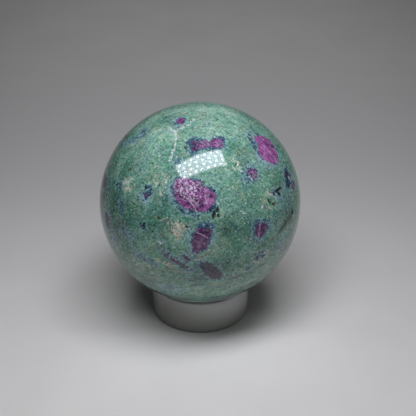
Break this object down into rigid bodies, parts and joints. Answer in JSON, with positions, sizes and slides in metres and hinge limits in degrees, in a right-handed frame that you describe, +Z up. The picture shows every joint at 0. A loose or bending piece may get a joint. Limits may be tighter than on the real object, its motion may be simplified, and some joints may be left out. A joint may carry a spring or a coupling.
{
  "type": "ruby fuchsite kyanite sphere on a ring stand",
  "caption": "Polished green, ruby and blue mineral sphere resting on a short clear ring stand; a desk ornament.",
  "frame": {"origin": "on the ground, at the centre of the ring stand's foot", "axes": "+Z up through the ring and the sphere's centre, -Y towards the side that the picture shows"},
  "size_m": [0.064, 0.064, 0.0721],
  "materials": {
    "ruby_fuchsite_kyanite": "polished",
    "clear_acrylic": "polished"
  },
  "bodies": {
    "root": {"ring_stand": "clear_acrylic", "sphere": "ruby_fuchsite_kyanite"}
  },
  "joints": []
}
